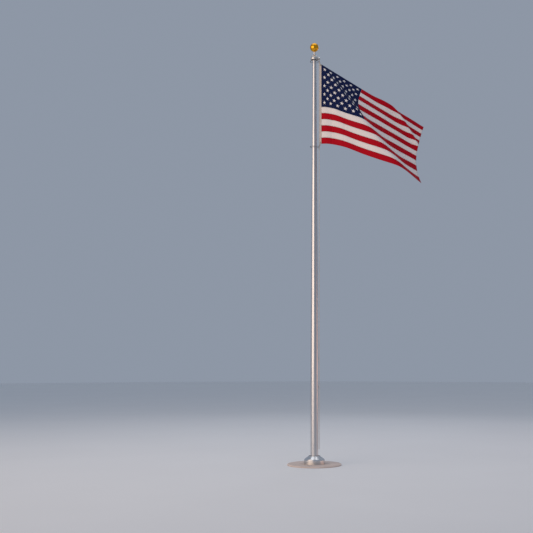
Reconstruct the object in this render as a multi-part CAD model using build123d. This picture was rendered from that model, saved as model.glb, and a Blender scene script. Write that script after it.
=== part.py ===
"""Ground-set aluminium flagpole with an external halyard and a four by six foot flag.

The pole stands at the origin, +Z is up and the flag flies towards +X. The near fall of
the halyard, which carries the flag, is on the -Y side. All lengths are millimetres.
"""

import math
import os

from build123d import *

# Concrete footing, seen as a round pad at ground level
footing_radius = 400.0
footing_height = 20.0
footing_chamfer = 6.0
footing_groove_radius = 208.0
footing_groove_width = 12.0
footing_groove_depth = 5.0
socket_floor = 5.0
socket_gap = 0.3

# Tapered aluminium tube
pole_height = 6096.0
straight_height = 1500.0
butt_radius = 57.15
top_radius = 30.15
tube_wall = 3.2

# Spun aluminium flash collar
collar_wall = 2.0
collar_foot_radius = 156.0
collar_skirt_radius = 153.0
collar_skirt_height = 56.0
collar_shoulder_radius = 145.0
collar_shoulder_height = 72.0
collar_neck_radius = 86.0
collar_neck_height = 116.0
collar_bead_radius = 3.0

# Cast truck cap on the top of the tube
cap_rim_radius = 57.0
cap_rim_wall = 4.0
cap_rim_drop = 14.0
cap_lip_height = 6.0
cap_shoulder_radius = 50.0
cap_shoulder_height = 32.0
cap_crown_radius = 15.0
cap_crown_height = 60.0
cap_fullness = 3.0
spigot_length = 45.0
spigot_gap = 0.25

# Halyard sheave in the truck cap
halyard_reach = 72.0
halyard_half_spread = 20.0
rope_radius = 4.0
sheave_width = 13.0
sheave_flange = 4.0
sheave_drop = 2.0
groove_gap = 0.3
axle_radius = 4.0
axle_gap = 0.08
axle_head_radius = 7.0
axle_head_height = 3.0
ear_wall = 5.0
ear_radius = 14.0
ear_gap = 0.6
hood_gap = 3.0
hood_wall = 4.0
hood_root = 44.0

# Ball finial and its stem
ball_radius = 67.0
ball_wall = 1.6
ball_neck_height = 5.0
ball_bore_gap = 0.2
stem_radius = 13.0
stem_length = 46.0
stud_radius = 8.0
stud_length = 24.0

# Cleat on the far side of the pole
cleat_height = 1350.0
cleat_length = 152.0
horn_radius = 9.0
horn_tip_radius = 5.0
horn_standoff = 42.0
cleat_stem_radius = 7.5
cleat_stem_spread = 22.0
cleat_base_width = 24.0
cleat_base_depth = 7.0
cleat_base_height = 100.0
cleat_seat_gap = 0.15
cleat_screw_spread = 41.0
screw_radius = 2.5
screw_head_radius = 5.0
screw_head_height = 3.0
screw_gap = 0.15

# Flag, sewn from strips of cloth
flag_hoist = 1219.0
flag_fly = 1829.0
heading_width = 28.0
heading_thickness = 3.0
canton_fly = 731.6
stripe_count = 13
canton_stripes = 7
cloth_thickness = 1.5
seam_gap = 0.6
hoist_gap = 6.5
flag_below_cap = 90.0

# Folds of the flying cloth, in degrees round the top corner of the hoist
crest_angle = 46.6
valley_angle = 57.0
fold_softness = 2.5
droop_at_crest = 35.5
droop_at_valley = 38.6
droop_at_top = 61.2
swell_at_crest = 14.0
swell_at_valley = 4.0
swell_at_top = -12.0
bias_stretch = 0.16
stretch_spread_below = 23.5
stretch_spread_above = 11.0
top_stretch = 0.03
cloth_spacing = 45.0

# Smaller ridge across the upper fly corner
ridge_start_along = 1190.0
ridge_end_down = 530.0
ridge_height = 40.0
ridge_width = 65.0
ridge_lift = 0.4

# Grommets and snaps
grommet_inset = 14.0
grommet_bore_radius = 6.0
grommet_barrel_radius = 8.0
grommet_flange_radius = 10.5
grommet_flange_height = 1.0
snap_rise = 42.0
snap_wire_radius = 2.4
snap_bend_radius = 8.0
snap_straight = 16.0
snap_barrel_radius = 4.5
snap_neck_length = 11.0
eye_wire_radius = 1.8
eye_gap = 0.8
seat_gap = 0.3

# Beaded retainer rings round the pole
ring_radius = 63.0
ring_cable_radius = 1.5
bead_count = 22
bead_radius = 3.6
bead_length = 8.0
bead_bore_gap = 0.3
knot_length = 40.0
knot_wall = 3.5
knot_gap = 0.5
knot_chamfer = 2.0

# Halyard route
bight_height = 240.0
belay_turn_gap = 0.5
belay_gap = 2.5
belay_pitch = 5.0
belay_lead_start = 56.0
belay_lead_height = 230.0
lead_bend = 60.0
rope_end_gap = 0.5

pole_top = footing_height + pole_height
pitch_radius = halyard_half_spread
sheave_radius = pitch_radius + sheave_flange
sheave_z = pole_top - sheave_drop
flag_top = pole_top - flag_below_cap
flag_bottom = flag_top - flag_hoist
hoist_x = halyard_reach + hoist_gap
cloth_x = hoist_x + heading_width + seam_gap
near_y = -halyard_half_spread
far_y = halyard_half_spread
rope_gap_radius = rope_radius + eye_gap
snap_top_z = flag_top + snap_rise
snap_bottom_z = flag_bottom - snap_rise
eye_pitch = 2 * eye_wire_radius + seat_gap
ring_top_z = snap_top_z + eye_pitch
ring_bottom_z = snap_bottom_z - eye_pitch
knot_top_z = ring_bottom_z - eye_wire_radius - seat_gap


def turned(profile):
    """Solid of revolution about the pole's axis from a face in the XZ plane."""
    return revolve(profile, Axis.Z)


def face_xz(points):
    """Closed face in the XZ plane through the given (radius, height) points."""
    return make_face(Polyline([(r, 0, z) for r, z in points], close=True))


def rod(start, end, radius):
    """Round bar from one point to another."""
    start, end = Vector(*start), Vector(*end)
    plane = Plane(origin=start, z_dir=end - start)
    bar = extrude(plane * Circle(radius), (end - start).length)
    return bar


def footing():
    """Round pad with a chamfered edge, a tooled groove and a blind socket for the tube."""
    groove_in = footing_groove_radius - footing_groove_width / 2
    groove_out = footing_groove_radius + footing_groove_width / 2
    socket_radius = butt_radius + socket_gap
    return turned(face_xz([
        (0, 0),
        (footing_radius, 0),
        (footing_radius, footing_height - footing_chamfer),
        (footing_radius - footing_chamfer, footing_height),
        (groove_out, footing_height),
        (footing_groove_radius, footing_height - footing_groove_depth),
        (groove_in, footing_height),
        (socket_radius, footing_height),
        (socket_radius, socket_floor),
        (0, socket_floor),
    ]))


def shaft():
    """Tube with an even wall, straight at the butt and tapered above."""
    taper_start = footing_height + straight_height
    return turned(face_xz([
        (butt_radius, socket_floor),
        (butt_radius, taper_start),
        (top_radius, pole_top),
        (top_radius - tube_wall, pole_top),
        (butt_radius - tube_wall, taper_start),
        (butt_radius - tube_wall, socket_floor),
    ]))


def flash_collar():
    """Spun shell: upright skirt, bead, cone and a rolled neck that stands clear of the tube."""
    outer = [
        (collar_foot_radius, 0),
        (collar_skirt_radius, collar_skirt_height),
        (collar_shoulder_radius, collar_shoulder_height),
        (collar_neck_radius, collar_neck_height),
    ]
    inner = [(r - collar_wall, z - collar_wall) for r, z in outer[1:]]
    inner.insert(0, (collar_foot_radius - collar_wall, 0))
    outline = [(r, z + footing_height) for r, z in outer + inner[::-1]]
    shell = turned(face_xz(outline))
    neck = Pos(0, 0, footing_height + collar_neck_height) * Torus(
        collar_neck_radius - collar_wall / 2, collar_bead_radius)
    bead = Pos(0, 0, footing_height + collar_skirt_height) * Torus(
        collar_skirt_radius - collar_wall / 2, collar_bead_radius)
    return shell + neck + bead


def truck_cap():
    """Cast bell over the tube's end, with a spigot down the bore and a hood for the sheave."""
    z = pole_top
    rim_in = cap_rim_radius - cap_rim_wall
    spigot_radius = top_radius - tube_wall - spigot_gap
    lip_top = cap_lip_height - cap_rim_drop
    mid_high = ((cap_shoulder_radius + cap_crown_radius) / 2 + cap_fullness, 0,
                z + (cap_shoulder_height + cap_crown_height) / 2 + cap_fullness)
    mid_low = ((cap_rim_radius + cap_shoulder_radius) / 2 + cap_fullness, 0,
               z + (lip_top + cap_shoulder_height) / 2 + cap_fullness)
    low = Polyline([
        (0, 0, z + cap_crown_height),
        (0, 0, z - spigot_length),
        (spigot_radius, 0, z - spigot_length),
        (spigot_radius, 0, z),
        (rim_in, 0, z),
        (rim_in, 0, z - cap_rim_drop),
        (cap_rim_radius, 0, z - cap_rim_drop),
        (cap_rim_radius, 0, z + lip_top),
    ])
    flank = ThreePointArc((cap_rim_radius, 0, z + lip_top), mid_low,
                          (cap_shoulder_radius, 0, z + cap_shoulder_height))
    dome = ThreePointArc((cap_shoulder_radius, 0, z + cap_shoulder_height), mid_high,
                         (cap_crown_radius, 0, z + cap_crown_height))
    crown = Line((cap_crown_radius, 0, z + cap_crown_height), (0, 0, z + cap_crown_height))
    bell = turned(make_face(Curve() + [low, flank, dome, crown]))

    pocket_half = sheave_width / 2 + ear_gap
    hood_end = halyard_reach + pocket_half + ear_wall
    ear_start = halyard_reach - pocket_half - ear_wall
    hood_radius = sheave_radius + hood_gap + hood_wall
    hood = rod((hood_root, 0, sheave_z), (hood_end, 0, sheave_z), hood_radius)
    below = Pos((hood_root + hood_end) / 2, 0, sheave_z - hood_radius) * Box(
        hood_end, 2 * hood_radius + 1, 2 * hood_radius)
    ears = rod((ear_start, 0, sheave_z), (hood_end, 0, sheave_z), ear_radius)
    pocket = rod((halyard_reach - pocket_half, 0, sheave_z),
                 (halyard_reach + pocket_half, 0, sheave_z), sheave_radius + hood_gap)
    hole = rod((ear_start - 1, 0, sheave_z), (hood_end + 1, 0, sheave_z), axle_radius)
    return bell + (hood - below) + ears - pocket - hole


def sheave():
    """Grooved wheel that turns on the axle; the groove takes the rope at pitch_radius."""
    half = sheave_width / 2
    groove_radius = rope_radius + groove_gap
    wheel = rod((-half, 0, 0), (half, 0, 0), sheave_radius)
    bore = rod((-half - 1, 0, 0), (half + 1, 0, 0), axle_radius + axle_gap)
    groove = Rot(0, 90, 0) * Torus(pitch_radius, groove_radius)
    mouth = (rod((-groove_radius, 0, 0), (groove_radius, 0, 0), sheave_radius + 1)
             - rod((-half, 0, 0), (half, 0, 0), pitch_radius))
    return Pos(halyard_reach, 0, sheave_z) * (wheel - bore - groove - mouth)


def sheave_axle():
    """Pin through both ears with a round head on the outer one."""
    pocket_half = sheave_width / 2 + ear_gap
    start = halyard_reach - pocket_half - ear_wall
    end = halyard_reach + pocket_half + ear_wall
    pin = rod((start, 0, sheave_z), (end, 0, sheave_z), axle_radius)
    head = rod((end, 0, sheave_z), (end + axle_head_height, 0, sheave_z), axle_head_radius)
    return pin + head


def ball_stem():
    """Stem on the crown of the cap, with the stud that the ball screws on to."""
    foot = pole_top + cap_crown_height
    shoulder = foot + stem_length
    return turned(face_xz([
        (0, foot),
        (cap_crown_radius, foot),
        (stem_radius, foot + cap_crown_radius - stem_radius),
        (stem_radius, shoulder),
        (stud_radius, shoulder),
        (stud_radius, shoulder + stud_length),
        (0, shoulder + stud_length),
    ]))


def ball():
    """Hollow spun sphere with a neck that seats on the stem's shoulder."""
    neck_foot = pole_top + cap_crown_height + stem_length
    centre = neck_foot + ball_neck_height + ball_radius
    skin = Sphere(ball_radius) - Sphere(ball_radius - ball_wall)
    neck = Pos(0, 0, -ball_radius - ball_neck_height / 2 + ball_wall) * Cylinder(
        stem_radius, ball_neck_height + 2 * ball_wall)
    bore = Pos(0, 0, -ball_radius) * Cylinder(
        stud_radius + ball_bore_gap, 4 * ball_neck_height)
    return Pos(0, 0, centre) * (skin + neck - bore)


def halyard():
    """Rope in one loop: over the sheave, down both sides, and round the cleat's stems."""
    x, top = halyard_reach, sheave_z + pitch_radius
    side = cleat_stem_radius + belay_turn_gap + rope_radius
    first = butt_radius + cleat_base_depth + belay_gap + rope_radius
    last = first + 2 * belay_pitch
    wrap_half = cleat_stem_spread + side
    high = cleat_height + wrap_half
    low = cleat_height - wrap_half
    wrap_bend = side - 0.1
    half_turn = halyard_half_spread - 0.05
    route = [
        ((side, last, cleat_height), None),
        ((side, last, high), wrap_bend),
        ((-side, last - belay_pitch / 2, high), wrap_bend),
        ((-side, first + belay_pitch / 2, low), wrap_bend),
        ((side, first, low), wrap_bend),
        ((side, first, cleat_height + belay_lead_start), lead_bend),
        ((x, far_y, cleat_height + belay_lead_height), lead_bend),
        ((x, far_y, top), half_turn),
        ((x, near_y, top), half_turn),
        ((x, near_y, bight_height), half_turn),
        ((x, far_y, bight_height), half_turn),
        ((x, far_y, cleat_height - belay_lead_height), lead_bend),
        ((side, last, cleat_height - belay_lead_start), lead_bend),
        ((side, last, cleat_height - rope_end_gap), None),
    ]
    corners = [Vector(*point) for point, bend_radius in route]
    radii = [bend_radius for point, bend_radius in route if bend_radius]
    path = FilletPolyline(*corners, radius=radii)
    section = Plane(origin=path @ 0, z_dir=path % 0) * Circle(rope_radius)
    return sweep(section, path=path)


def cleat():
    """Two-horned cleat on a base that is hollowed to the pole's round."""
    base = Pos(0, butt_radius, cleat_height) * Box(
        cleat_base_width, 2 * cleat_base_depth, cleat_base_height)
    base -= Pos(0, 0, cleat_height) * Cylinder(
        butt_radius + cleat_seat_gap, cleat_base_height + 2)
    horn_y = butt_radius + horn_standoff
    half = cleat_length / 2
    spine = Polyline([(horn_tip_radius, 0, half), (0, 0, half), (0, 0, -half),
                      (horn_tip_radius, 0, -half)])
    back = ThreePointArc((horn_tip_radius, 0, -half), (horn_radius, 0, 0),
                         (horn_tip_radius, 0, half))
    horn = Pos(0, horn_y, cleat_height) * turned(make_face(Curve() + [spine, back]))
    body = base + horn
    for side in (-1, 1):
        z = cleat_height + side * cleat_stem_spread
        body += rod((0, butt_radius + cleat_base_depth / 2, z), (0, horn_y, z),
                    cleat_stem_radius)
        screw_z = cleat_height + side * cleat_screw_spread
        body -= rod((0, butt_radius - cleat_base_depth, screw_z), (0, horn_y, screw_z),
                    screw_radius + screw_gap)
    return body


def cleat_screws():
    """Two round-headed screws through the cleat's base."""
    seat = butt_radius + cleat_base_depth
    screws = []
    for side in (-1, 1):
        z = cleat_height + side * cleat_screw_spread
        shank = rod((0, butt_radius + cleat_seat_gap, z), (0, seat, z), screw_radius)
        head = rod((0, seat, z), (0, seat + screw_head_height, z), screw_head_radius)
        screws.append(shank + head)
    return Compound(screws)


def retainer_cable(height):
    """Wire ring round the pole, with an eye on the near fall of the halyard."""
    ring = Torus(ring_radius, ring_cable_radius)
    eye_radius = rope_gap_radius + eye_wire_radius
    eye = Pos(halyard_reach, near_y, 0) * Torus(eye_radius, eye_wire_radius)
    away = math.hypot(halyard_reach, near_y)
    ux, uy = halyard_reach / away, near_y / away
    inner = ring_radius
    outer = away - eye_radius
    link = rod((inner * ux, inner * uy, 0), (outer * ux, outer * uy, 0), ring_cable_radius)
    return Pos(0, 0, height) * (ring + eye + link)


def retainer_beads(height):
    """Rollers strung on the wire ring, with a space left for the eye."""
    start = math.degrees(math.atan2(near_y, halyard_reach))
    step = 360 / (bead_count + 1)
    roller = (rod((0, -bead_length / 2, 0), (0, bead_length / 2, 0), bead_radius)
              - rod((0, -bead_length, 0), (0, bead_length, 0),
                    ring_cable_radius + bead_bore_gap))
    beads = [Rot(0, 0, start + step * (i + 1)) * Pos(ring_radius, 0, 0) * roller
             for i in range(bead_count)]
    return Pos(0, 0, height) * Compound(beads)


def halyard_knot(top):
    """Knot on the near fall, as a sleeve round the rope."""
    inner = rope_radius + knot_gap
    outer = inner + knot_wall
    ring = turned(face_xz([
        (inner, top - knot_length), (outer - knot_chamfer, top - knot_length),
        (outer, top - knot_length + knot_chamfer), (outer, top - knot_chamfer),
        (outer - knot_chamfer, top), (inner, top),
    ]))
    return Pos(halyard_reach, near_y, 0) * ring


def snap(eye_z, grommet_z):
    """Snap hook: an eye on the rope, a barrel, and a closed hook through the grommet."""
    eye_radius = rope_gap_radius + eye_wire_radius
    hole = Vector(hoist_x + grommet_inset, near_y, grommet_z)
    eye_side = Vector(halyard_reach + eye_radius, near_y, eye_z)
    along = (eye_side - hole).normalized()
    inside = snap_bend_radius - snap_wire_radius
    half_grommet = heading_thickness / 2 + grommet_flange_height
    sag = inside - math.sqrt(inside ** 2 - half_grommet ** 2)
    seat = hole + along * (grommet_bore_radius - snap_wire_radius - seat_gap - sag)
    frame = Plane(origin=seat, x_dir=along, z_dir=along.cross(Vector(0, 1, 0)))
    length = snap_straight + 2 * snap_bend_radius
    centre = frame * Pos(snap_bend_radius + snap_straight / 2, 0, 0)
    loop = (centre * SlotOverall(length, 2 * snap_bend_radius)).face().outer_wire()
    section = Plane(origin=loop @ 0, z_dir=loop % 0) * Circle(snap_wire_radius)
    hook = sweep(section, path=loop)
    barrel_start = seat + along * length
    neck_start = eye_side - along * snap_neck_length
    barrel = rod(tuple(barrel_start - along * 1.0), tuple(neck_start), snap_barrel_radius)
    neck = rod(tuple(neck_start), tuple(eye_side), snap_wire_radius)
    eye = Pos(halyard_reach, near_y, eye_z) * Torus(eye_radius, eye_wire_radius)
    return hook + barrel + neck + eye


def grommet(height):
    """Brass eyelet: a barrel through the heading and a flange on each face."""
    half = heading_thickness / 2
    x = hoist_x + grommet_inset
    ends = half + grommet_flange_height
    barrel = rod((x, near_y - ends, height), (x, near_y + ends, height), grommet_barrel_radius)
    flanges = [rod((x, near_y + side * half, height), (x, near_y + side * ends, height),
                   grommet_flange_radius) for side in (-1, 1)]
    bore = rod((x, near_y - ends - 1, height), (x, near_y + ends + 1, height),
               grommet_bore_radius)
    return barrel + flanges[0] + flanges[1] - bore


def heading():
    """Canvas strip along the hoist, with a hole for each grommet."""
    strip = Pos(hoist_x + heading_width / 2, near_y, (flag_top + flag_bottom) / 2) * Box(
        heading_width, heading_thickness, flag_hoist)
    for height in (flag_top - grommet_inset, flag_bottom + grommet_inset):
        x = hoist_x + grommet_inset
        strip -= rod((x, near_y - heading_thickness, height),
                     (x, near_y + heading_thickness, height), grommet_barrel_radius)
    return strip


def bend(angle, at_crest, at_valley, at_top):
    """Value that runs from 0 at the hoist over crest and valley to the top edge, rounded."""
    slopes = (
        at_crest / crest_angle,
        (at_valley - at_crest) / (valley_angle - crest_angle),
        (at_top - at_valley) / (90 - valley_angle),
    )
    value = slopes[0] * angle
    for knee, before, after in ((crest_angle, *slopes[:2]), (valley_angle, *slopes[1:])):
        past = math.log(1 + math.exp((angle - knee) / fold_softness)) * fold_softness
        value += (after - before) * past
    return value


def stretch(angle):
    """Length of the hanging cloth for one flat: most on the bias, and a little on top."""
    spread = stretch_spread_below if angle < crest_angle else stretch_spread_above
    bias = bias_stretch * math.exp(-((angle - crest_angle) / spread) ** 2)
    return 1 + bias + top_stretch * math.sin(math.radians(angle)) ** 2


def ridge(along, down):
    """Height of the small ridge from the top edge to the fly edge."""
    run_along = flag_fly - heading_width - seam_gap - ridge_start_along
    run_down = ridge_end_down
    off = (along - ridge_start_along) * run_down - down * run_along
    off /= math.hypot(run_along, run_down)
    return ridge_height * math.exp(-(off / ridge_width) ** 2)


def cloth_point(along, down):
    """Place of the cloth that lies along the fly and down the hoist when laid flat.

    The cloth is a cone from the top corner of the hoist: each line out of that corner
    stays straight. Its direction droops less than the flat angle, and swells towards
    the near side up to the crest and away beyond it.
    """
    angle = math.degrees(math.atan2(along, down)) if along or down else 0
    reach = math.hypot(along, down) * stretch(angle)
    droop = math.radians(bend(angle, droop_at_crest, droop_at_valley, droop_at_top))
    swell = math.radians(bend(angle, swell_at_crest, swell_at_valley, swell_at_top))
    rise = ridge(along, down)
    return Vector(
        cloth_x + reach * math.sin(droop) * math.cos(swell),
        near_y - reach * math.sin(swell) - rise,
        flag_top - reach * math.cos(droop) * math.cos(swell) + ridge_lift * rise,
    )


def cloth_panel(along_start, along_end, down_start, down_end):
    """Cloth between two lengths along the fly and two down the hoist, thick towards +Y."""
    columns = max(3, math.ceil((along_end - along_start) / cloth_spacing))
    rows = max(3, math.ceil((down_end - down_start) / cloth_spacing))
    grid = []
    for i in range(columns + 1):
        along = along_start + (along_end - along_start) * i / columns
        grid.append([cloth_point(along, down_start + (down_end - down_start) * j / rows)
                     for j in range(rows + 1)])
    near_face = Pos(0, -cloth_thickness / 2, 0) * Face.make_surface_from_array_of_points(grid)
    return extrude(near_face, amount=cloth_thickness, dir=(0, 1, 0))


def write(name, shape):
    export_step(shape, "parts/" + name + ".step")


os.makedirs("parts", exist_ok=True)
write("footing", footing())
write("flash_collar", flash_collar())
write("pole_shaft", shaft())
write("truck_cap", truck_cap())
write("sheave", sheave())
write("sheave_axle", sheave_axle())
write("ball_stem", ball_stem())
write("ball", ball())
write("halyard", halyard())
write("cleat", cleat())
write("cleat_screws", cleat_screws())

write("retainer_cable_top", retainer_cable(ring_top_z))
write("retainer_beads_top", retainer_beads(ring_top_z))
write("retainer_cable_bottom", retainer_cable(ring_bottom_z))
write("retainer_beads_bottom", retainer_beads(ring_bottom_z))
write("halyard_knot", halyard_knot(knot_top_z))

write("snap_top", snap(snap_top_z, flag_top - grommet_inset))
write("snap_bottom", snap(snap_bottom_z, flag_bottom + grommet_inset))
write("grommet_top", grommet(flag_top - grommet_inset))
write("grommet_bottom", grommet(flag_bottom + grommet_inset))
write("flag_heading", heading())

stripe_height = flag_hoist / stripe_count
cloth_fly = flag_fly - heading_width - seam_gap
canton_end = canton_fly - heading_width - seam_gap
write("flag_canton", cloth_panel(0, canton_end, 0, canton_stripes * stripe_height - seam_gap))
for number in range(1, stripe_count + 1):
    start = canton_end + seam_gap if number <= canton_stripes else 0
    top = (number - 1) * stripe_height
    bottom = number * stripe_height - (seam_gap if number < stripe_count else 0)
    write(f"flag_stripe_{number:02d}", cloth_panel(start, cloth_fly, top, bottom))
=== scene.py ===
import bpy
import numpy as np
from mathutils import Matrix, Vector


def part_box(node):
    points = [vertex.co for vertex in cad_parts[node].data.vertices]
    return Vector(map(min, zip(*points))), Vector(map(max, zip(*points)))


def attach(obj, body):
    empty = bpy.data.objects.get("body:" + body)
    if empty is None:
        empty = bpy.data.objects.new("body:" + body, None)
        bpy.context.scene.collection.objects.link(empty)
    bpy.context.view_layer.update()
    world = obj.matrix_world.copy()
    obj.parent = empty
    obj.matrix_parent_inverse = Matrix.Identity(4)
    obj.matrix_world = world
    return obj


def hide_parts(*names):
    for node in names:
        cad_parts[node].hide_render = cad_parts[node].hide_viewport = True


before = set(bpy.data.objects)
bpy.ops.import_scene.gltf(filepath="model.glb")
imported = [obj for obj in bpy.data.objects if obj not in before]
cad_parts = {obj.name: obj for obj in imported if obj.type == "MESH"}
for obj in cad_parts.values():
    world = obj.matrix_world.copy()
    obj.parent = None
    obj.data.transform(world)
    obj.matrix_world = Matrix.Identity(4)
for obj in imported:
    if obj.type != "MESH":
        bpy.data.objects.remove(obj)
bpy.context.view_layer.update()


# Footing: a round pad of cast concrete that holds the foot of the pole. It is floated
# smooth, with a tooled groove round it. Sand and fine stone show. Shade is painted on it:
# it is darker round the collar and along its lower edge.

class Value:
    """A number worked out by the shader. Python's operators add Math nodes to it."""

    def __init__(self, finish, socket):
        self.finish = finish
        self.socket = socket

    def math(self, operation, *others):
        terms = dict(enumerate((self, *others)))
        return self.finish.node("Math", terms, operation=operation)

    def __add__(self, other):
        return self.math("ADD", other)

    def __sub__(self, other):
        return self.math("SUBTRACT", other)

    def __rsub__(self, other):
        return self * -1 + other

    def __mul__(self, other):
        return self.math("MULTIPLY", other)

    def __truediv__(self, other):
        return self.math("DIVIDE", other)

    __radd__ = __add__
    __rmul__ = __mul__

    def abs(self):
        return self.math("ABSOLUTE")

    def sine(self):
        return self.math("SINE")

    def below(self, limit):
        return self.math("LESS_THAN", limit)

    def above(self, limit):
        return self.math("GREATER_THAN", limit)

    def clamped(self):
        return self.finish.node("Clamp", {"Value": self}, out="Result")


class Finish:
    """A material with one Principled shader, its texture coordinates and its Bump nodes."""

    def __init__(self, name, color, roughness, metallic=0.0, **constants):
        self.material = bpy.data.materials.new(name)
        self.material.use_nodes = True
        self.tree = self.material.node_tree
        self.shader = self.tree.nodes["Principled BSDF"]
        self.shader.inputs["Base Color"].default_value = (*color, 1)
        self.shader.inputs["Roughness"].default_value = roughness
        self.shader.inputs["Metallic"].default_value = metallic
        for socket, constant in constants.items():
            self.shader.inputs[socket.replace("_", " ")].default_value = constant
        self.color = color

    def node(self, kind, sockets=(), out=0, **settings):
        """A node with its settings made first, then its sockets set or linked."""
        made = self.tree.nodes.new("ShaderNode" + kind)
        for setting, choice in settings.items():
            setattr(made, setting, choice)
        for key, value in dict(sockets).items():
            if isinstance(value, Value):
                self.tree.links.new(value.socket, made.inputs[key])
            else:
                made.inputs[key].default_value = value
        return Value(self, made.outputs[out])

    def place(self, kind="Object"):
        """Object coordinates or the piece's UV map, as a vector."""
        return self.node("TexCoord", out=kind)

    def axes(self, kind="Object"):
        """The same coordinates as three separate numbers, in metres."""
        made = self.node("SeparateXYZ", {0: self.place(kind)}).socket.node
        return [Value(self, out) for out in made.outputs]

    def noise(self, scale, detail=3.0, stretch=(1, 1, 1), kind="Object"):
        """Noise from 0 to 1, with scale in spots a metre and a stretch for each axis."""
        where = self.node("Mapping", {"Vector": self.place(kind), "Scale": stretch})
        return self.node("TexNoise", {"Vector": where, "Scale": scale, "Detail": detail})

    def mix(self, share, first, second):
        """Colour between two others. A colour is a triple or another mix."""
        first, second = (c if isinstance(c, Value) else (*c, 1) for c in (first, second))
        return self.node("Mix", {0: share, 6: first, 7: second}, out=2, data_type="RGBA")

    def feed(self, socket, value):
        self.tree.links.new(value.socket, self.shader.inputs[socket])

    def bump(self, height, distance, strength=1.0):
        """Adds a height from 0 to 1, as deep as distance in metres, to the bumps so far."""
        sockets = {"Height": height, "Distance": distance, "Strength": strength}
        if self.shader.inputs["Normal"].links:
            before = self.shader.inputs["Normal"].links[0].from_socket
            sockets["Normal"] = Value(self, before)
        self.feed("Normal", self.node("Bump", sockets))

    def dress(self, *names):
        """Puts this finish on every slot of the named CAD nodes."""
        for name in names:
            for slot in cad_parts[name].material_slots:
                slot.material = self.material


def shaded(color, factor):
    """The same colour, darker or lighter by a factor."""
    return tuple(channel * factor for channel in color)


def from_axis(finish):
    """Distance from the pole's axis, the root of x x + y y, and the height."""
    x, y, z = finish.axes()
    return (x * x + y * y).math("SQRT"), z


concrete = Finish("cast_concrete", (0.74, 0.62, 0.56), 0.88)
sand = concrete.noise(900, 4)
cloud = concrete.noise(5, 5)
stone = concrete.node("TexVoronoi", {"Vector": concrete.place(), "Scale": 160.0})
from_pole, pad_z = from_axis(concrete)
# Painted shade: the pad is darker close round the foot of the collar.
painted_collar_shade = ((0.20 - from_pole) * 12 + cloud).clamped()
tone = concrete.mix(cloud, shaded(concrete.color, 0.82), shaded(concrete.color, 1.12))
tone = concrete.mix((sand - 0.45) * 1.2, tone, shaded(concrete.color, 0.7))
tone = concrete.mix(stone.below(0.16) * 0.35, tone, (0.30, 0.27, 0.25))
tone = concrete.mix(painted_collar_shade * 0.3, tone, shaded(concrete.color, 0.5))
# Painted shade: a darker band along the lower edge of the pad.
tone = concrete.mix(pad_z.below(0.008) * 0.4, tone, shaded(concrete.color, 0.45))
concrete.feed("Base Color", tone)
concrete.bump(sand, 0.0016)
concrete.bump(stone, 0.0010)
concrete.bump(cloud, 0.0040)
concrete.dress("footing")


# Flash collar: sheet aluminium round the foot of the pole, spun to an upright skirt with
# a low cone above it, then polished. Fine rings from the spinning tool run round it, and
# dust lies on its skirt.

polished = Finish("spun_aluminium", (0.74, 0.73, 0.73), 0.20, 1.0)
from_pole, collar_z = from_axis(polished)
tool_ring = ((from_pole + collar_z) * 4200).sine() * 0.5 + 0.5
dents = polished.noise(22, 2)
smear = polished.noise(60, 4, (1, 1, 3))
dust = ((0.085 - collar_z) * 30 + smear - 0.5).clamped()
polished.feed("Roughness", smear * 0.22 + dust * 0.20 + 0.10)
polished.feed("Base Color", polished.mix(dust * 0.45, polished.color, (0.42, 0.36, 0.31)))
polished.bump(tool_ring, 0.00006)
polished.bump(dents, 0.0016)
polished.dress("flash_collar")


# Pole: a tapered aluminium tube, ground to a satin finish on a lathe, so fine lines run
# round it. Rain leaves faint streaks down it.

satin = Finish("satin_aluminium", (0.62, 0.61, 0.62), 0.30, 1.0)
lines = satin.noise(6, 3, (1.2, 1.2, 300))
streak = satin.noise(9, 4, (5, 5, 0.12))
spots = satin.noise(140, 2)
satin.feed("Roughness", lines * 0.16 + streak * 0.12 + 0.17)
satin.feed("Base Color", satin.mix((streak - 0.42) * 1.8, satin.color, (0.44, 0.44, 0.46)))
satin.bump(lines, 0.00028)
satin.bump(spots, 0.00010)
satin.dress("pole_shaft")


# Truck: a cast aluminium bell on top of the tube, with the hood for the halyard's wheel,
# machined and left with the fine grain of the casting. The cleat and the ball's stem have
# the same finish.

cast = Finish("cast_aluminium", (0.66, 0.64, 0.62), 0.36, 1.0)
grain = cast.noise(900, 3)
patch = cast.noise(26, 3)
cast.feed("Roughness", grain * 0.2 + patch * 0.22 + 0.16)
cast.feed("Base Color", cast.mix((patch - 0.4) * 1.6, cast.color, (0.42, 0.40, 0.39)))
cast.bump(grain, 0.0004)
cast.dress("truck_cap", "cleat", "ball_stem")


# Wheel and its axle: a black nylon wheel with a groove for the rope, on a steel pin. The
# cleat's screws and the cables of the retainer rings are of the same steel.

nylon = Finish("nylon_wheel", (0.022, 0.022, 0.024), 0.45)
worn = nylon.noise(300, 3)
nylon.feed("Roughness", worn * 0.3 + 0.28)
nylon.feed("Base Color", nylon.mix(worn, (0.016, 0.016, 0.018), (0.05, 0.05, 0.052)))
nylon.bump(worn, 0.0003)
nylon.dress("sheave")

steel = Finish("bright_steel", (0.56, 0.57, 0.58), 0.28, 1.0)
scuffs = steel.noise(420, 3)
steel.feed("Roughness", scuffs * 0.3 + 0.14)
steel.feed("Base Color", steel.mix(scuffs, (0.42, 0.42, 0.43), (0.68, 0.69, 0.70)))
steel.bump(scuffs, 0.0002)
steel.dress("sheave_axle", "cleat_screws", "retainer_cable_top", "retainer_cable_bottom")


# Ball: spun from two aluminium shells and anodised gold, with a bright, slightly uneven
# dye and small marks from the weather.

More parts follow.
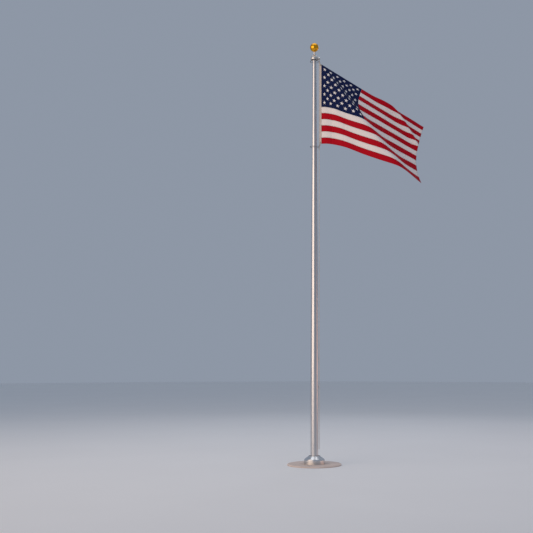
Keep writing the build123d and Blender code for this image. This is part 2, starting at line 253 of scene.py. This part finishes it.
gold = Finish("gold_anodised", (0.84, 0.39, 0.02), 0.14, 1.0)
dye = gold.noise(12, 3)
marks = gold.noise(260, 3)
gold.feed("Base Color", gold.mix(dye, (0.72, 0.28, 0.008), (0.93, 0.49, 0.035)))
gold.feed("Roughness", marks * 0.14 + 0.07)
gold.bump(marks, 0.00012)
gold.dress("ball")


# Halyard: braided polyester rope in one loop. It runs over the wheel, down the near and
# the far side, and is made fast with a turn round the two stems of the cleat.

belay_turn_gap = 0.0005
belay_gap = 0.0025
belay_pitch = 0.005
belay_lead_start = 0.056
belay_lead_height = 0.230
lead_bend = 0.060
cleat_stem_radius = 0.0075
cleat_stem_spread = 0.022
cleat_base_depth = 0.007
bight_height = 0.240
butt_radius = 0.05715
rope_radius = 0.004
rope_sides = 12
wrap_slack = 0.0001
half_turn_slack = 0.00005
bend_step = 0.004
run_step = 0.05
strands_round = 4
crossings_a_metre = 130


sheave_low, sheave_high = (np.array(corner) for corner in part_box("sheave"))
rope_low = np.array(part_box("halyard")[0])
cleat_low, cleat_high = (np.array(corner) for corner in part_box("cleat"))
reach, wheel_z = ((sheave_low + sheave_high) / 2)[[0, 2]]
near_y = rope_low[1] + rope_radius
far_y = -near_y
cleat_z = (cleat_low[2] + cleat_high[2]) / 2


def length_along(path):
    """Length of a line from its start to each of its points."""
    steps = np.linalg.norm(np.diff(path, axis=0), axis=1)
    return np.concatenate([[0], np.cumsum(steps)])


def rounded(corners, bends, step):
    """Points along straight runs whose corners are arcs, with none on the runs between.

    At a corner that turns by angle a, an arc of radius r leaves the run r tan(a/2) before
    the corner. Its points are start + r (enter sin t + inward (1 - cos t)), where enter
    points along the run and inward points across it, to the centre of the arc.
    """
    corners = np.array(corners, float)
    parts = [corners[:1]]
    for before, corner, after, bend in zip(corners, corners[1:], corners[2:], bends):
        enter = (corner - before) / np.linalg.norm(corner - before)
        leave = (after - corner) / np.linalg.norm(after - corner)
        turn = np.arccos(np.clip(enter @ leave, -1, 1))
        start = corner - enter * bend * np.tan(turn / 2)
        inward = leave - enter * (enter @ leave)
        inward /= np.linalg.norm(inward)
        angle = np.linspace(0, turn, max(4, int(bend * turn / step)))[:, None]
        parts.append(start + bend * (enter * np.sin(angle) + inward * (1 - np.cos(angle))))
    parts.append(corners[-1:])
    return np.concatenate(parts)


def divided(path, step):
    """The same line with points no further apart than step."""
    length = length_along(path)
    extra = np.arange(0, length[-1], step)
    places = np.unique(np.round(np.concatenate([length, extra]), 5))
    return np.stack([np.interp(places, length, path[:, axis]) for axis in range(3)], 1)


def smooth_mesh(name, points, faces, corner_uv, uv_name):
    """Smooth mesh of points and faces, with a UV for each corner of each face."""
    mesh = bpy.data.meshes.new(name)
    mesh.from_pydata(points.reshape(-1, 3).tolist(), [], faces)
    layer = mesh.uv_layers.new(name=uv_name)
    layer.data.foreach_set("uv", corner_uv.astype(np.float32).ravel())
    mesh.polygons.foreach_set("use_smooth", np.ones(len(mesh.polygons), bool))
    mesh.update()
    return mesh


def grid_mesh(name, grid, uv, wrap=False, ends=False):
    """Mesh of quads over a grid of points, with a UV for each point of the grid.

    With wrap, the last column is joined to the first; with ends, the first and the last
    row are closed by a flat face each.
    """
    rows, columns = grid.shape[:2]
    count = columns - 1 if wrap else columns
    grid, uv = grid.astype(float), np.broadcast_to(uv, (rows, columns, 2))
    index = np.arange(rows * count).reshape(rows, count)
    index = np.concatenate([index, index[:, :1]], 1) if wrap else index
    quads = np.stack([index[:-1, :-1], index[:-1, 1:], index[1:, 1:], index[1:, :-1]], -1)
    faces = quads.reshape(-1, 4).tolist()
    corners = np.stack([uv[:-1, :-1], uv[:-1, 1:], uv[1:, 1:], uv[1:, :-1]], 2)
    corner_uv = corners.reshape(-1, 2)
    if ends:
        faces += [index[0, :-1][::-1].tolist(), index[-1, :-1].tolist()]
        corner_uv = np.concatenate([corner_uv, uv[0, :-1][::-1], uv[-1, :-1]])
    return smooth_mesh(name, grid[:, :count], faces, corner_uv, "rope" if wrap else "cloth")


def piece(mesh, body, finish, slot, *nodes):
    """Object for a mesh that rides on a body and may stand for CAD nodes."""
    made = bpy.data.objects.new(mesh.name, mesh)
    bpy.context.scene.collection.objects.link(made)
    made.data.materials.append(finish.material)
    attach(made, body)
    if nodes:
        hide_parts(*nodes)
    return made


def tube(name, path, radius, sides):
    """Round tube along a path: path + radius (side cos u + up sin u), with a frame that is
    carried from point to point without twist. The UV is the turn and the metres along."""
    ahead = np.gradient(path, axis=0)
    ahead /= np.linalg.norm(ahead, axis=1)[:, None]
    side = np.cross(ahead[0], (0.3, 0.5, 0.8))
    sideways = []
    for direction in ahead:
        side = side - direction * (side @ direction)
        side = side / np.linalg.norm(side)
        sideways.append(side)
    sideways = np.array(sideways)[:, None]
    upwards = np.cross(ahead, sideways[:, 0])[:, None]
    turn = np.linspace(0, 2 * np.pi, sides + 1)[None, :, None]
    grid = path[:, None] + radius * (sideways * np.cos(turn) + upwards * np.sin(turn))
    along = length_along(path)[:, None]
    uv = np.stack(np.broadcast_arrays(turn[..., 0] / (2 * np.pi), along), -1)
    return grid_mesh(name, grid, uv, wrap=True, ends=True)


side = cleat_stem_radius + belay_turn_gap + rope_radius
first = butt_radius + cleat_base_depth + belay_gap + rope_radius
last = first + 2 * belay_pitch
wrap_half = cleat_stem_spread + side
top = wheel_z + far_y
wrap_bend = side - wrap_slack
half_turn = far_y - half_turn_slack
halyard_corners = [
    (side, last, cleat_z),
    (side, last, cleat_z + wrap_half),
    (-side, last - belay_pitch / 2, cleat_z + wrap_half),
    (-side, first + belay_pitch / 2, cleat_z - wrap_half),
    (side, first, cleat_z - wrap_half),
    (side, first, cleat_z + belay_lead_start),
    (reach, far_y, cleat_z + belay_lead_height),
    (reach, far_y, top),
    (reach, near_y, top),
    (reach, near_y, bight_height),
    (reach, far_y, bight_height),
    (reach, far_y, cleat_z - belay_lead_height),
    (side, last, cleat_z - belay_lead_start),
    (side, last, cleat_z),
]
halyard_bends = [wrap_bend] * 4 + [lead_bend] * 2 + [half_turn] * 4 + [lead_bend] * 2

rope = Finish("braided_rope", (0.74, 0.68, 0.62), 0.82, Sheen_Weight=0.3)
turn, along = rope.axes("UV")[:2]
right_hand = ((turn * strands_round + along * crossings_a_metre) * 2 * np.pi).sine()
left_hand = ((turn * strands_round - along * crossings_a_metre) * 2 * np.pi).sine()
strand = (right_hand * left_hand).abs()
fluff = rope.noise(1600, 3)
soil = rope.noise(7, 3)
# Painted shade: the yarn is darker in the grooves between the strands and lighter on their
# tops.
yarn_with_painted_shade = rope.mix(strand, shaded(rope.color, 0.72), shaded(rope.color, 1.08))
rope.feed("Base Color", rope.mix((soil - 0.35) * 0.9, yarn_with_painted_shade, shaded(rope.color, 0.6)))
rope.bump(strand, 0.0006)
rope.bump(fluff, 0.0003)

halyard_path = divided(rounded(halyard_corners, halyard_bends, bend_step), run_step)
halyard_tube = tube("halyard_rope", halyard_path, rope_radius, rope_sides)
piece(halyard_tube, "mast", rope, "rope", "halyard")


# Knot: a thin cord of the same make is seized round the near fall under the flag, in
# eight tight turns. It is one helix round the rope, closed flat at both ends.

cord_radius = 0.0021
cord_gap = 0.0003
cord_sides = 10
knot_turns = 8
points_a_turn = 24

knot_low, knot_high = (np.array(corner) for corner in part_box("halyard_knot"))
coil_radius = rope_radius + cord_radius + cord_gap
angle = np.linspace(0, 1, knot_turns * points_a_turn + 1) * knot_turns * 2 * np.pi
rise = np.linspace(knot_low[2] + cord_radius, knot_high[2] - cord_radius, len(angle))
coil = np.stack([reach + coil_radius * np.cos(angle), near_y + coil_radius * np.sin(angle),
                 rise], 1)
knot_tube = tube("knot_coil", coil, cord_radius, cord_sides)
piece(knot_tube, "carriage", rope, "rope", "halyard_knot")


# Retainer beads: small rollers of black nylon on a cable, so that the rings run down the
# pole without scratching it.

roller = Finish("retainer_roller", (0.035, 0.026, 0.022), 0.4)
rubbed = roller.noise(500, 3)
roller.feed("Roughness", rubbed * 0.35 + 0.22)
roller.feed("Base Color", roller.mix(rubbed, (0.022, 0.017, 0.015), (0.085, 0.062, 0.05)))
roller.bump(rubbed, 0.0003)
roller.dress("retainer_beads_top", "retainer_beads_bottom")


# Snaps and grommets: bronze swivel snaps hold the flag, and pressed brass eyelets in the
# heading take them. Both are dulled by the weather, in darker and brighter patches.

bronze = Finish("snap_bronze", (0.50, 0.33, 0.18), 0.38, 1.0)
tarnish = bronze.noise(120, 4)
bronze.feed("Base Color", bronze.mix(tarnish, (0.25, 0.16, 0.09), (0.62, 0.43, 0.25)))
bronze.feed("Roughness", tarnish * 0.3 + 0.22)
bronze.bump(tarnish, 0.0003)
bronze.dress("snap_top", "snap_bottom")

brass = Finish("grommet_brass", (0.72, 0.52, 0.22), 0.3, 1.0)
tarnish = brass.noise(200, 4)
brass.feed("Base Color", brass.mix(tarnish, (0.48, 0.33, 0.13), (0.80, 0.61, 0.29)))
brass.feed("Roughness", tarnish * 0.3 + 0.16)
brass.bump(tarnish, 0.0002)
brass.dress("grommet_top", "grommet_bottom")


# Heading: a folded strip of cotton canvas along the hoist, sewn down both edges, with a
# hole at each end for the brass eyelet.

heading_thickness = 0.003
grommet_inset = 0.014
grommet_barrel = 0.008
stitch_length = 0.0032
sewn_share = 0.72
thread_width = 0.0009
canvas_pitch = 0.0011
heading_rows = (0.003, 0.025)
hole_points = 49
hole_rings = 7
strip_columns = 9
strip_rows = 120

heading_low, heading_high = (np.array(corner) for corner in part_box("flag_heading"))
hoist_x, flag_bottom = heading_low[0], heading_low[2]
heading_end, flag_top = heading_high[0], heading_high[2]


def stitches(across, along, rows):
    """Rows of stitches: a dash where along is in the sewn part of its stitch and across is
    within half a thread of one of the rows. Returns the mask of all the rows."""
    dash = (along / stitch_length).math("FRACT").below(sewn_share)
    mask = (across - rows[0]).abs().below(thread_width / 2)
    for row in rows[1:]:
        mask = mask + (across - row).abs().below(thread_width / 2)
    return mask.clamped() * dash


def weave(across, along, pitch):
    """Plain weave from 0 to 1: the product of two sines, one thread to each half wave."""
    return (across * (np.pi / pitch)).sine() * (along * (np.pi / pitch)).sine() * 0.5 + 0.5


canvas = Finish("heading_canvas", (0.70, 0.59, 0.52), 0.9, Sheen_Weight=0.25)
across, along = canvas.axes("UV")[:2]
thread = weave(across, along, canvas_pitch)
sewn = stitches(across, along, heading_rows)
fold = canvas.noise(40, 4, (1, 1, 0.5))
# Painted shade: the canvas is darker in the hollows of the weave and lighter on its tops.
cotton_with_painted_shade = canvas.mix(thread, shaded(canvas.color, 0.82), shaded(canvas.color, 1.1))
cotton_with_painted_shade = canvas.mix((fold - 0.3) * 0.5, cotton_with_painted_shade, shaded(canvas.color, 0.72))
canvas.feed("Base Color", canvas.mix(sewn, cotton_with_painted_shade, (0.80, 0.78, 0.74)))
canvas.bump(thread, 0.0005)
canvas.bump(sewn, 0.0009)
canvas.bump(fold, 0.0030)


def holed_square(centre_x, low_z, high_z, hole_z):
    """Patch between a round hole and the rectangle of the strip round it: each point is
    1 - share of the circle plus share of the rectangle's side in the same direction."""
    turn = np.linspace(0, 2 * np.pi, hole_points)
    ray = np.stack([np.cos(turn), np.sin(turn)], 1)
    half = (heading_end - hoist_x) / 2
    tall = np.where(ray[:, 1] > 0, high_z - hole_z, hole_z - low_z)
    far = 1 / np.maximum(abs(ray[:, 0]) / half, abs(ray[:, 1]) / tall)
    share = np.linspace(0, 1, hole_rings)[:, None]
    radius = grommet_barrel * (1 - share) + far * share
    x = centre_x + radius * ray[:, 0]
    z = hole_z + radius * ray[:, 1]
    return np.stack([x, np.full_like(x, near_y), z], -1)


def strip_uv(grid):
    """Metres across the strip and down it, as the UV of a flat piece in the XZ plane."""
    return np.stack([grid[..., 0] - hoist_x, flag_top - grid[..., 2]], -1)


def thickened(sheet, name, thickness):
    """Gives a sheet its thickness, half of it to each side."""
    solid = sheet.modifiers.new(name, "SOLIDIFY")
    solid.thickness = thickness
    solid.offset = 0


centre_x = (hoist_x + heading_end) / 2
patch = 2 * grommet_inset
ends = [
    holed_square(centre_x, flag_top - patch, flag_top, flag_top - grommet_inset),
    holed_square(centre_x, flag_bottom, flag_bottom + patch, flag_bottom + grommet_inset),
]
across, down = np.meshgrid(np.linspace(hoist_x, heading_end, strip_columns),
                           np.linspace(flag_top - patch, flag_bottom + patch, strip_rows))
middle = np.stack([across, np.full_like(across, near_y), down], -1)
parts = [piece(grid_mesh("heading_part", grid, strip_uv(grid)), "flag", canvas, "canvas")
         for grid in (middle, *ends)]
with bpy.context.temp_override(active_object=parts[0], selected_editable_objects=parts):
    bpy.ops.object.join()
strip = parts[0]
strip.name = strip.data.name = "heading_strip"
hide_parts("flag_heading")
thickened(strip, "canvas_thickness", heading_thickness)


# Cloth of the flag: nylon, sewn from a blue canton and thirteen red and white stripes. It
# hangs from the top corner of the hoist and folds along lines out of that corner.

seam_gap = 0.0006
flag_fly = 1.829
canton_fly = 0.7316
stripe_count = 13
canton_stripes = 7
nylon_thickness = 0.0012
crest_angle = 46.6
valley_angle = 57.0
fold_softness = 1.3
fold_radius = 0.25
fold_nearest = 0.05
droop = (35.5, 38.6, 61.2)
swell = (13.0, 4.0, -12.0)
bias_stretch = 0.16
stretch_spread = (23.5, 11.0)
top_stretch = 0.03
ridge_start = 1.190
ridge_end = 0.530
ridge_height = 0.052
ridge_width = (0.032, 0.090)
ridge_lift = 0.3
fan_height = 0.007
fan_waves = 21
fan_reach = 1.2
flutter_height = 0.006
flutter_waves = (17, 5)
flutter_reach = 1.8
crease_height = 0.004
crease_width = 0.012
crease_places = (0.20, 0.42)
calm_by_hoist = 0.08
nylon_pitch = 0.0009
seam_rows = (0.003, 0.009)
seam_width = 0.012
hem_rows = (0.004, 0.011, 0.018, 0.025)
hem_width = 0.028
stripe_spacing = 0.012

heading_width = heading_end - hoist_x
cloth_x = heading_end + seam_gap
cloth_fly = flag_fly - heading_width - seam_gap
canton_end = canton_fly - heading_width - seam_gap
flag_hoist = flag_top - flag_bottom
stripe_height = flag_hoist / stripe_count


def bend(angle, distance, at_crest, at_valley, at_top):
    """Piecewise straight line over the angle, from 0 at the hoist to the crest, the valley
    and the top edge. Each knee is rounded by a soft step, s log(1 + exp(a / s)), with more
    degrees of rounding near the corner, where the same radius takes more of the angle."""
    soft = fold_softness * (1 + fold_radius / np.maximum(distance, fold_nearest))
    rise = (at_crest / crest_angle,
            (at_valley - at_crest) / (valley_angle - crest_angle),
            (at_top - at_valley) / (90 - valley_angle))
    past_crest = np.logaddexp(0, (angle - crest_angle) / soft) * soft
    past_valley = np.logaddexp(0, (angle - valley_angle) / soft) * soft
    return (rise[0] * angle + (rise[1] - rise[0]) * past_crest
            + (rise[2] - rise[1]) * past_valley)


def ripples(along, down, angle):
    """Small waves: a fan out of the top corner, a flutter that grows towards the fly, and
    two creases where the flag was folded in its bag. The first two are sines and the
    creases are bell curves, each a few millimetres high, and all fade out at the hoist."""
    distance = np.hypot(along, down)
    fan = fan_height * np.sin(np.radians(angle * fan_waves))
    fan = fan * np.clip(distance / fan_reach, 0, 1)
    wave = along * flutter_waves[0] + down * flutter_waves[1]
    flutter = flutter_height * np.sin(wave) * np.clip(along / flutter_reach, 0, 1) ** 2
    creases = sum(crease_height * np.exp(-((along - place) / crease_width) ** 2)
                  for place in crease_places)
    return (fan + flutter - creases) * np.clip(along / calm_by_hoist, 0, 1)


def cloth(along, down):
    """Points of the cloth, from metres along the fly and down the hoist when it lies flat.

    It is a cone from the top corner: a point at flat distance d and angle a lies at
    d (1 + stretch) in the direction that droops and swells by bend(a). A bell-shaped ridge
    crosses the upper fly corner, along a line that starts flat and gets steeper with the
    power 1.5, and ripples() adds the small waves.
    """
    along, down = np.broadcast_arrays(along, down)
    angle = np.degrees(np.arctan2(along, down))
    spread = np.where(angle < crest_angle, *stretch_spread)
    stretch = bias_stretch * np.exp(-((angle - crest_angle) / spread) ** 2)
    stretch = stretch + top_stretch * np.sin(np.radians(angle)) ** 2
    distance = np.hypot(along, down) * (1 + stretch)
    fall = np.radians(bend(angle, distance, *droop))
    near = np.radians(bend(angle, distance, *swell))
    run = cloth_fly - ridge_start
    share = (along - ridge_start) / run
    line = ridge_end * share * np.sqrt(abs(share))
    off = (line - down) * run / np.hypot(run, ridge_end)
    rise = ridge_height * np.exp(-(off / np.where(off > 0, *ridge_width)) ** 2)
    return np.stack([
        cloth_x + distance * np.sin(fall) * np.cos(near),
        near_y - distance * np.sin(near) - rise - ripples(along, down, angle),
        flag_top - distance * np.cos(fall) * np.cos(near) + ridge_lift * rise,
    ], -1)


def cloth_finish(name, color, worn_color, height):
    """Woven nylon for panels of a given height: a fine weave with painted shade in its
    hollows, worn patches, lines of sewing by the seams, and a sewn hem at the fly. The UV
    is metres along the fly and metres down from the panel's top."""
    finish = Finish(name, color, 0.62, Sheen_Weight=0.02, Sheen_Roughness=0.4,
                    Specular_IOR_Level=0.06)
    along, down = finish.axes("UV")[:2]
    thread = weave(along, down, nylon_pitch)
    wear = finish.noise(3, 4, kind="UV")
    rows = (*seam_rows, *(height - edge for edge in reversed(seam_rows)))
    sewn = stitches(down, along, rows)
    hemmed = stitches(along, down, [cloth_fly - edge for edge in hem_rows])
    thick = (down.below(seam_width) + down.above(height - seam_width)
             + along.above(cloth_fly - hem_width)).clamped()
    # Painted shade: the cloth is darker in the hollows of the weave and lighter on its
    # tops.
    tone = finish.mix(thread, shaded(color, 0.88), shaded(color, 1.06))
    tone = finish.mix((wear - 0.4) * 0.7, tone, worn_color)
    tone = finish.mix(thick * 0.22, tone, shaded(color, 0.7))
    tone = finish.mix((sewn + hemmed).clamped() * 0.6, tone, shaded(color, 1.25))
    finish.feed("Base Color", tone)
    finish.bump(thread, 0.0002)
    finish.bump(thick, 0.0008)
    finish.bump(sewn + hemmed, 0.0005)
    finish.bump(wear, 0.004, 0.5)
    return finish


def panel(name, finish, slot, node, along, down, spacing):
    """Panel of cloth between two lengths along and two down, as a sheet with thickness. Its
    points are evenly spaced on the flat cloth, and cloth() gives their places."""
    columns = int((along[1] - along[0]) / spacing) + 1
    rows = int((down[1] - down[0]) / spacing) + 1
    s, t = np.meshgrid(np.linspace(*along, columns), np.linspace(*down, rows))
    mesh = grid_mesh(name, cloth(s, t), np.stack([s, t - down[0]], -1))
    made = piece(mesh, "flag", finish, slot, node)
    thickened(made, "nylon_thickness", nylon_thickness)
    return made


red = cloth_finish("red_nylon", (0.46, 0.002, 0.012), (0.38, 0.002, 0.013), stripe_height)
white = cloth_finish("white_nylon", (0.84, 0.78, 0.76), (0.75, 0.69, 0.69), stripe_height)
canton_height = canton_stripes * stripe_height - seam_gap
blue = cloth_finish("blue_nylon", (0.006, 0.013, 0.068), (0.005, 0.010, 0.052),
                    canton_height)

for number in range(1, stripe_count + 1):
    beside_canton = number <= canton_stripes
    start = canton_end + seam_gap if beside_canton else 0
    upper = (number - 1) * stripe_height
    lower = number * stripe_height - (seam_gap if number < stripe_count else 0)
    dyed, slot = (red, "flag_red") if number % 2 else (white, "flag_white")
    stripe = panel(f"stripe_{number:02d}", dyed, slot, f"flag_stripe_{number:02d}",
                   (start, cloth_fly), (upper, lower), stripe_spacing)


# Canton: the blue panel at the top of the hoist, with fifty white stars sewn on each side
# in nine rows of six and five. The stars are satin stitch and stand a little proud.

star_radius = 0.032
star_height = 0.0020
star_sink = 0.0003
star_columns = 11
star_rows = 9
star_rings = (0.0, 0.35, 0.7, 0.92, 1.0)
tip_spacing = 72
turn_step = 9
slope_step = 0.001
middle_weld = 0.00002
satin_pitch = 0.0011
canton_spacing = 0.006

column, row = np.meshgrid(np.arange(star_columns), np.arange(star_rows))
used = (column + row) % 2 == 0
star_along = canton_end * (column[used] + 1) / (star_columns + 1)
star_down = canton_height * (row[used] + 1) / (star_rows + 1)


def star_grid(side):
    """Five-pointed stars on one face of the cloth, as (star, ring, turn) points.

    The outline's radius is R cos(72) / cos(72 - a), with a the angle from the nearest tip,
    and the height above the cloth falls from the middle to the edge as 1 - ring^4.
    """
    turn = np.radians(np.arange(0, 360 + 1, turn_step))
    to_notch = tip_spacing / 2
    from_tip = np.radians(to_notch - abs(to_notch - np.degrees(turn) % tip_spacing))
    slant = np.radians(tip_spacing)
    outline = star_radius * np.cos(slant) / np.cos(slant - from_tip)
    ring = np.array(star_rings)[:, None]
    along = star_along[:, None, None] + ring * outline * np.sin(turn)
    down = star_down[:, None, None] - ring * outline * np.cos(turn)
    face = cloth(along, down)
    step = slope_step
    normal = np.cross(cloth(along + step, down) - cloth(along - step, down),
                      cloth(along, down + step) - cloth(along, down - step))
    normal /= np.linalg.norm(normal, axis=-1)[..., None]
    height = nylon_thickness / 2 - star_sink + star_height * (1 - ring ** 4)
    return face + side * normal * height[..., None], along, down


def star_mesh(name, side):
    """All the stars of one side in one mesh, with their UV in metres on the flat cloth."""
    grid, along, down = star_grid(side)
    stars, rings, turns = grid.shape[:3]
    index = np.arange(stars * rings * turns).reshape(stars, rings, turns)
    quads = np.stack([index[:, :-1, :-1], index[:, 1:, :-1],
                      index[:, 1:, 1:], index[:, :-1, 1:]], -1).reshape(-1, 4)
    quads = quads if side > 0 else quads[:, ::-1]
    corner_uv = np.stack([along.ravel()[quads.ravel()], down.ravel()[quads.ravel()]], 1)
    return smooth_mesh(name, grid, quads.tolist(), corner_uv, "cloth")


thread_white = Finish("star_thread", (0.90, 0.86, 0.83), 0.55, Sheen_Weight=0.3)
along, down = thread_white.axes("UV")[:2]
satin_stitch = ((along * 0.8 + down) * (2 * np.pi / satin_pitch)).sine() * 0.5 + 0.5
soft = thread_white.noise(60, 3, kind="UV")
thread_white.feed("Base Color", thread_white.mix(
    satin_stitch * 0.4 + soft * 0.3, thread_white.color, shaded(thread_white.color, 0.78)))
thread_white.bump(satin_stitch, 0.0003)

canton = panel("canton_field", blue, "flag_blue", "flag_canton",
               (0, canton_end), (0, canton_height), canton_spacing)
for side_name, side in (("near", 1), ("far", -1)):
    sewn_on = piece(star_mesh(f"stars_{side_name}", side), "flag", thread_white,
                    "flag_white")
    weld = sewn_on.modifiers.new("star_middles", "WELD")
    weld.merge_threshold = middle_weld


# Studio: a pale floor that stops far from the pole, a grey-blue surround and four soft
# lamps: a large warm one on the left, a low one far off on the right, one overhead and one
# behind. A grid in each keeps its light within sixty degrees of where it points.

floor_sides = 96
floor_hole = 0.001
floor_radius = 40.0
surround_color = (0.27, 0.31, 0.38)
grid_spread = np.radians(120)

floor_paint = Finish("studio_floor", (0.90, 0.90, 0.90), 0.9)
floor_tone = floor_paint.noise(0.6, 2)
floor_paint.feed("Base Color", floor_paint.mix(floor_tone, (0.88, 0.88, 0.88),
                                               (0.92, 0.92, 0.92)))
edge = np.linspace(0, 2 * np.pi, floor_sides + 1)
disc = np.stack([np.cos(edge), np.sin(edge), np.zeros_like(edge)], -1)
floor_grid = np.stack([disc * floor_hole, disc * floor_radius])
floor_mesh = grid_mesh("floor", floor_grid, floor_grid[..., :2], wrap=True)
floor = bpy.data.objects.new("floor", floor_mesh)
floor.data.materials.append(floor_paint.material)
floor_mesh.flip_normals()
bpy.context.scene.collection.objects.link(floor)

world = bpy.data.worlds.new("surround")
bpy.context.scene.world = world
world.use_nodes = True
background = world.node_tree.nodes["Background"]
background.inputs["Color"].default_value = (*surround_color, 1)
background.inputs["Strength"].default_value = 1.0


def lamp(name, place, aim, width, height, watts, color):
    """Area lamp with a grid, at a place, turned so that its -Z axis points at its aim."""
    light = bpy.data.lights.new(name, "AREA")
    light.shape = "RECTANGLE"
    light.size = width
    light.size_y = height
    light.spread = grid_spread
    light.energy = watts
    light.color = color
    made = bpy.data.objects.new(name, light)
    bpy.context.scene.collection.objects.link(made)
    made.location = place
    across, ahead, up = np.array(aim) - np.array(place)
    tilt = np.arctan2(np.hypot(across, ahead), -up)
    made.rotation_euler = (tilt, 0, np.arctan2(-across, ahead))


lamp("evening_lamp", place=(-9.9, -8.4, 6.8), aim=(0.2, 0, 6.2), width=17.0, height=13.4,
     watts=640, color=(1.0, 0.77, 0.59))
lamp("glow_lamp", place=(12.4, 2.0, 1.5), aim=(0, 0, 1.4), width=11.0, height=2.6,
     watts=60, color=(1.0, 0.55, 0.37))
lamp("top_lamp", place=(0, 0.5, 13.0), aim=(0, 0.5, 0), width=9.0, height=9.0,
     watts=105, color=(0.97, 0.98, 1.0))
lamp("back_lamp", place=(2.0, 12.0, 9.0), aim=(0.3, 0, 3.0), width=6.0, height=6.0,
     watts=55, color=(0.90, 0.93, 1.0))


# Camera: at the eye of someone who stands fourteen metres off and looks a little up. The
# pole stands right of the middle of the frame and upright, which the lens shift gives.

frame_width = 533
eye_height = 1.66
eye_distance = 14.0
focal_pixels = 937.8
tilt = np.radians(4.02)
pole_pixel = 314.4
axis_pixel = 286.5

lens = bpy.data.cameras.new("photo_lens")
lens.sensor_width = 36.0
lens.lens = focal_pixels / frame_width * lens.sensor_width
lens.shift_x = (frame_width / 2 - pole_pixel) / frame_width
lens.shift_y = (axis_pixel - frame_width / 2) / frame_width
camera = bpy.data.objects.new("photo_camera", lens)
bpy.context.scene.collection.objects.link(camera)
camera.location = (0, -eye_distance, eye_height)
camera.rotation_euler = (np.pi / 2 + tilt, 0, 0)
bpy.context.scene.camera = camera
bpy.context.scene.view_settings.view_transform = "Standard"
